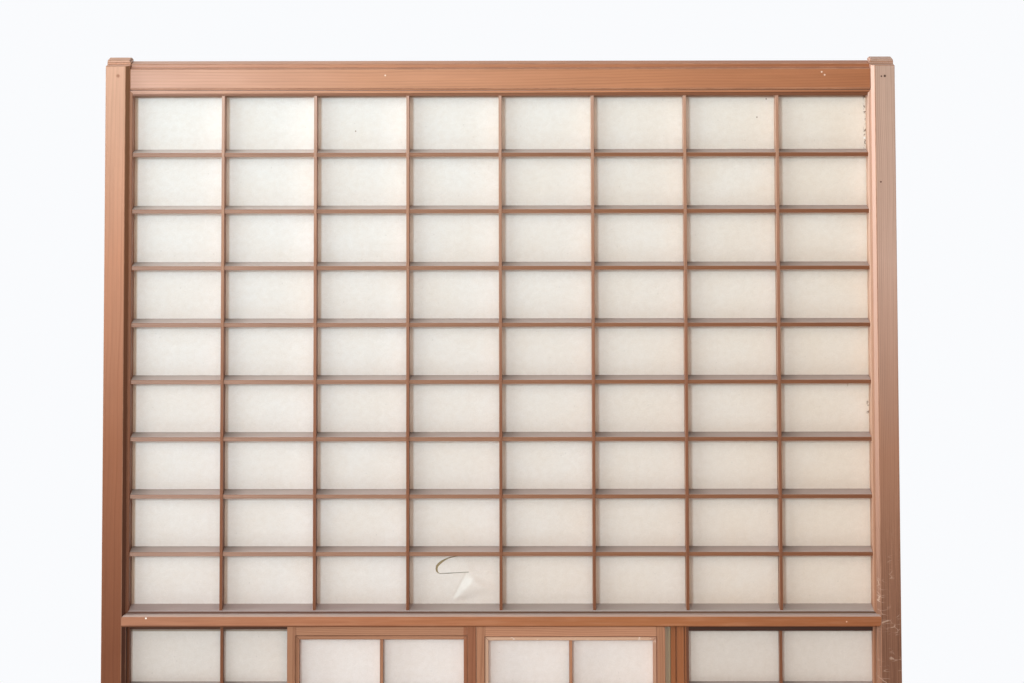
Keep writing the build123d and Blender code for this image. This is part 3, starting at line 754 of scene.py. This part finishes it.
def grid(name, low, high, columns, rows):
    """A flat sheet in the paper's plane, subdivided evenly."""
    bpy.ops.object.select_all(action="DESELECT")
    middle = ((low[0] + high[0]) / 2, SHEET_DEPTH, (low[1] + high[1]) / 2)
    bpy.ops.mesh.primitive_grid_add(
        x_subdivisions=columns, y_subdivisions=rows, size=1, location=middle, rotation=(math.pi / 2, 0, 0)
    )
    sheet = bpy.context.object
    sheet.name = name
    sheet.scale = (high[0] - low[0], high[1] - low[1], 1)
    apply_places(sheet)
    return sheet


def cut_off(sheet, point, outwards):
    pick(sheet)
    bpy.ops.object.mode_set(mode="EDIT")
    bpy.ops.mesh.select_all(action="SELECT")
    bpy.ops.mesh.bisect(plane_co=point, plane_no=outwards, clear_outer=True)
    bpy.ops.object.mode_set(mode="OBJECT")


def thicken(sheet, thickness):
    pick(sheet)
    thick = sheet.modifiers.new("thickness", "SOLIDIFY")
    thick.thickness = thickness
    thick.offset = -1
    bpy.ops.object.modifier_apply(modifier="thickness")


def ease_in(value, start, end):
    """0 before start, 1 after end, smooth between them."""
    share = min(max((value - start) / (end - start), 0.0), 1.0)
    return share * share * (3 - 2 * share)


def hang(x, z):
    """How far the paper stands before its plane, in millimetres: slack in each pane, the bent flap, the crease."""
    across = (x / BAR_PITCH) % 1.0
    down = ((LAST_CROSS_BAR - z) / ROW_PITCH) % 1.0
    bulge = math.sin(math.pi * across) * math.sin(math.pi * down)
    wave = math.sin(x * 0.031 + z * 0.017) + 0.6 * math.sin(x * -0.053 + z * 0.041 + 1.3)
    forward = SLACK * bulge * wave
    if not (-BAR_PITCH < x < 0.0 and z < LAST_CROSS_BAR):
        return forward
    flap = ease_in(z, 1168.8, 1171.4) * ease_in(-along((x, z), FOLD)[1], 0.0, 10.0) * ease_in(x, -76.0, -72.0)
    top_edge = ease_in(1187.5 - z, -1.0, 5.0) * 0.4 + 0.6
    forward -= BEND * flap * top_edge
    share, right = along((x, z), CREASE)
    if -0.1 < share < 1.15:
        wide = 1.8 + 13.0 * max(share, 0.0)
        rise = ease_in(right, -0.8, wide * 0.75) * ease_in(-right, -wide * 3.2, -wide * 0.75)
        fade = ease_in(share, -0.05, 0.22) * ease_in(-share, -1.14, -0.86)
        forward += RIDGE * rise * fade * min(1.0, 0.35 + share)
        beside = ease_in(right, -7.0, -0.8) * ease_in(-right, -0.6, 0.8)
        forward -= HOLLOW * beside * fade
    return forward


def ribbon(path):
    """A solid ribbon along a cut, to take it out of the sheet."""
    mesh = bmesh.new()
    rings = []
    for i, (x, z, width) in enumerate(path):
        before, after = path[max(i - 1, 0)], path[min(i + 1, len(path) - 1)]
        dx, dz = after[0] - before[0], after[1] - before[1]
        half = width / 2 / math.hypot(dx, dz)
        corners = ((1, CUT_FRONT), (-1, CUT_FRONT), (-1, CUT_BACK), (1, CUT_BACK))
        rings.append([mesh.verts.new(((x - s * dz * half) * MM, y, (z + s * dx * half) * MM)) for s, y in corners])
    for one, two in zip(rings, rings[1:]):
        for i in range(4):
            mesh.faces.new((one[i], one[(i + 1) % 4], two[(i + 1) % 4], two[i]))
    mesh.faces.new(rings[0][::-1])
    mesh.faces.new(rings[-1])
    bmesh.ops.recalc_face_normals(mesh, faces=mesh.faces)
    data = bpy.data.meshes.new("ribbon")
    mesh.to_mesh(data)
    mesh.free()
    cutter = bpy.data.objects.new("ribbon", data)
    scene.collection.objects.link(cutter)
    return cutter


def sheet_without_cell(low, high):
    """The upper sheet as a grid, with the torn pane left out."""
    step, row = BAR_PITCH * MM / 9, ROW_PITCH * MM / 5
    corners = (-ASIDE * step, CELL_TOP - BELOW * row), (ASIDE * step, CELL_TOP + ABOVE * row)
    wide = grid("upper_sheet", *corners, 2 * ASIDE, BELOW + ABOVE)
    cut_off(wide, (low.x, 0, 0), (-1, 0, 0))
    cut_off(wide, (high.x, 0, 0), (1, 0, 0))
    cut_off(wide, (0, 0, low.z), (0, 0, -1))
    cut_off(wide, (0, 0, high.z), (0, 0, 1))
    pick_faces(wide, lambda face: CELL_LEFT < face.center.x < CELL_RIGHT and face.center.z < CELL_TOP)
    bpy.ops.mesh.delete(type="FACE")
    bpy.ops.object.mode_set(mode="OBJECT")
    return wide


def torn_sheet():
    """The upper sheet with its tear, in the place of the whole one."""
    low, high = (Vector(corner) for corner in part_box("upper_paper"))
    wide = sheet_without_cell(low, high)
    pane = grid("torn_pane", (CELL_LEFT, low.z), (CELL_RIGHT, CELL_TOP), 135, 82)
    for sheet in (wide, pane):
        thicken(sheet, high.y - low.y)
    for path in (TEAR, SLIT):
        cutter = ribbon(path)
        pick(pane)
        cut = pane.modifiers.new("tear", "BOOLEAN")
        cut.operation = "DIFFERENCE"
        cut.object = cutter
        cut.solver = "EXACT"
        bpy.ops.object.modifier_apply(modifier="tear")
        bpy.data.objects.remove(cutter)
    pick(wide)
    pane.select_set(True)
    bpy.ops.object.join()
    sheet = bpy.context.object
    for vertex in sheet.data.vertices:
        vertex.co.y -= hang(vertex.co.x / MM, vertex.co.z / MM) * MM
    bpy.ops.object.shade_smooth_by_angle(angle=math.radians(40))
    sheet.data.materials.clear()
    sheet.data.materials.append(finishes["upper_paper"])
    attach(sheet, "frame")
    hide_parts("upper_paper")


# Metres: the dark backing's middle, half its width and the share of that which its height is, and its thickness.
BACKING_PLACE = (-0.0575, 0.0126, 1.1785)
BACKING_WIDE, BACKING_HIGH, BACKING_THICK = 0.027, 0.52, 0.0002


def add_shade_backing():
    """A brown sheet behind the tear, as painted shade: it darkens what shows through the gap, where the shaded wall
    behind would be. It is shaped like an old scrap pasted on from behind.
    """
    bpy.ops.object.select_all(action="DESELECT")
    bpy.ops.mesh.primitive_circle_add(
        vertices=28, radius=BACKING_WIDE, fill_type="NGON", location=BACKING_PLACE, rotation=(math.pi / 2, 0, 0)
    )
    backing = bpy.context.object
    backing.name = "shade_backing"
    backing.scale = (1, BACKING_HIGH, 1)
    apply_places(backing)
    # Its edge is torn, so it isn't quite round.
    for i, vertex in enumerate(backing.data.vertices):
        vertex.co.x += 0.0011 * math.sin(i * 2.3)
        vertex.co.z += 0.0009 * math.sin(i * 3.1 + 1)
    thicken(backing, BACKING_THICK)
    backing.data.materials.append(finishes["shade_backing_paper"])
    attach(backing, "frame")


# Metres: a nail's head, the depth of its middle, and how far it may stand before the stile's face.
NAIL_RADIUS, NAIL_LENGTH = 0.00085, 0.0016
NAIL_MIDDLE, NAIL_FRONT = -0.0145, -0.0151
# Metres: how wide the head's rim is, and how deep its middle is dished.
NAIL_RIM, NAIL_DISH = 0.0002, 0.00012


def nail(name, x, z, lean):
    """A small round head, dished in the middle and driven a little askew."""
    bpy.ops.object.select_all(action="DESELECT")
    bpy.ops.mesh.primitive_cylinder_add(
        vertices=14, radius=NAIL_RADIUS, depth=NAIL_LENGTH, location=(x, NAIL_MIDDLE, z),
        rotation=(math.pi / 2, 0, lean),
    )
    head = bpy.context.object
    head.name = name
    pick_faces(head, lambda face: face.normal.z > 0.9)
    bpy.ops.mesh.inset(thickness=NAIL_RIM, depth=NAIL_DISH)
    bpy.ops.object.mode_set(mode="OBJECT")
    apply_places(head)
    for vertex in head.data.vertices:
        vertex.co.y = max(vertex.co.y, NAIL_FRONT)
    head.data.materials.append(finishes["rust"])
    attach(head, "frame")


torn_sheet()
add_shade_backing()
nail("stile_nail_1", 0.4460, 1.7402, 0.05)
nail("stile_nail_2", 0.4420, 1.7399, -0.04)


# Floor, light and camera

WALL_WHITE = (0.955, 0.965, 0.985)
FLOOR_GREY = (0.74, 0.74, 0.74)
# Millimetres from the panel's middle: where the floor begins to pass into white, and where it has.
FLOOR_NEAR, FLOOR_FAR = 700, 2200
AMBIENT = (0.45, 0.39, 0.35)
# The place on the panel that every lamp looks at.
LIT_PLACE = Vector((0, 0, 1.3))
# Name, place, watts, width and height, colour. Cool daylight comes from the upper left and from far left, and a warm
# weak fill from the front.
LAMPS = [
    ("key", (-1.25, -4.8, 3.45), 98, (0.5, 0.5), (0.73, 0.93, 1.0)),
    ("window", (-3.4, -2.6, 2.7), 43, (3.0, 3.0), (0.76, 0.93, 1.0)),
    ("rake", (-3.6, -0.5, 1.9), 140, (0.9, 2.4), (0.78, 0.93, 1.0)),
    ("front_fill", (0.6, -4.6, 4.4), 44, (2.6, 2.0), (1.0, 0.88, 0.78)),
    ("back_fill", (1.6, 4.4, 3.2), 70, (1.6, 1.6), (0.94, 0.98, 1.0)),
]


def floor():
    """Pale under the panel, and passing into the white of the wall behind it. It keeps the panel's shadow."""
    bpy.ops.object.select_all(action="DESELECT")
    bpy.ops.mesh.primitive_plane_add(size=40, location=(0, 0, 0))
    ground = bpy.context.object
    ground.name = "floor"
    f = Finish("floor_white")
    x, y, z = f.place()
    away = f.length(x, y)
    white = f.node("ShaderNodeEmission", Color=WALL_WHITE, Strength=1.0)
    pale = f.node("ShaderNodeBsdfDiffuse", Color=FLOOR_GREY)
    part = f.backdrop() * (away.step(FLOOR_NEAR, FLOOR_FAR) * 0.45 + 0.55)
    f.node("ShaderNodeOutputMaterial", Surface=f.node("ShaderNodeMixShader", _0=part, _1=pale, _2=white))
    ground.data.materials.append(f.material)


def wall():
    """A white wall to the eye, and a weak warm light from all round to the panel."""
    scene.world = bpy.data.worlds.new("studio")
    scene.world.use_nodes = True
    f = Finish("studio", scene.world.node_tree)
    air = f.node("ShaderNodeBackground", Color=f.mix(f.backdrop(), AMBIENT, WALL_WHITE), Strength=1.0)
    f.node("ShaderNodeOutputWorld", Surface=air)


def lamp(name, place, watts, size, colour):
    bpy.ops.object.light_add(type="AREA", location=place)
    light = bpy.context.object
    light.name = name
    light.data.energy = watts
    light.data.color = colour
    light.data.shape = "RECTANGLE"
    light.data.size, light.data.size_y = size
    light.rotation_mode = "QUATERNION"
    light.rotation_quaternion = (Vector(place) - LIT_PLACE).to_track_quat("Z", "Y")


def view_camera():
    """The photograph was taken with a shifted lens, or straightened afterwards: its verticals are parallel although
    the camera looks down. This camera's back is set parallel to the panel, as on a view camera."""
    bpy.ops.object.empty_add(location=(0, 0, 0))
    stand = bpy.context.object
    stand.name = "camera_stand"
    bpy.ops.object.camera_add(location=(0, 0, 0), rotation=(0, 0, 0))
    camera = bpy.context.object
    camera.name = "camera"
    camera.data.sensor_width = 36
    camera.data.lens = 88.2739
    camera.parent = stand
    # The first three columns are the camera's right, up and back, and the last is its place. All were fitted to the
    # photograph.
    camera.matrix_parent_inverse = Matrix(
        (
            (0.99998962, 0.00240822, 0.00284176, 0.02150051),
            (0.00400916, -0.06214057, -0.9575086, -2.78372636),
            (-0.00216325, 0.9980645, 0.28839071, 2.27311304),
            (0, 0, 0, 1),
        )
    )
    camera.data.clip_start, camera.data.clip_end = 0.05, 200
    scene.camera = camera


floor()
wall()
for line in LAMPS:
    lamp(*line)
view_camera()
scene.view_settings.view_transform = "Standard"
